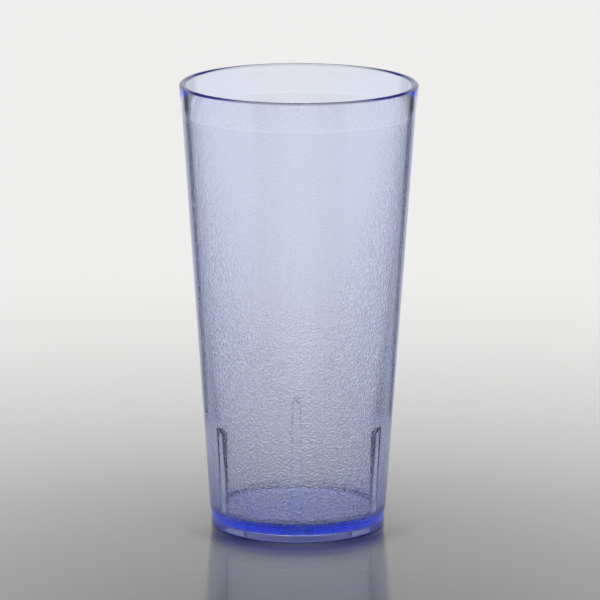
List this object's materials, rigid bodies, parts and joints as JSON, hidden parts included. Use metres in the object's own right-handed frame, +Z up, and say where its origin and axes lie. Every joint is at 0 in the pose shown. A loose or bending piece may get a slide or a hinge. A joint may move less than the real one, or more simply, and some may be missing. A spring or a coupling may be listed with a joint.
{
  "type": "plastic tumbler cup",
  "caption": "Tall tapered drinking tumbler of clear blue-tinted plastic, with a smooth rim band, pebbled wall, thick base and inner stacking lugs.",
  "frame": {"origin": "on the table, at the centre of the foot ring", "axes": "+Z up along the cup's axis, out of its mouth; +Y through one of the inner stacking lugs; -Y is the side that faces the camera"},
  "size_m": [0.086, 0.086, 0.162],
  "materials": {
    "tinted_plastic": "clear plastic with a light blue-violet tint, glossy inside and on band and foot, fine pebble grain outside"
  },
  "bodies": {
    "root": {"tumbler": "tinted_plastic"}
  },
  "joints": []
}
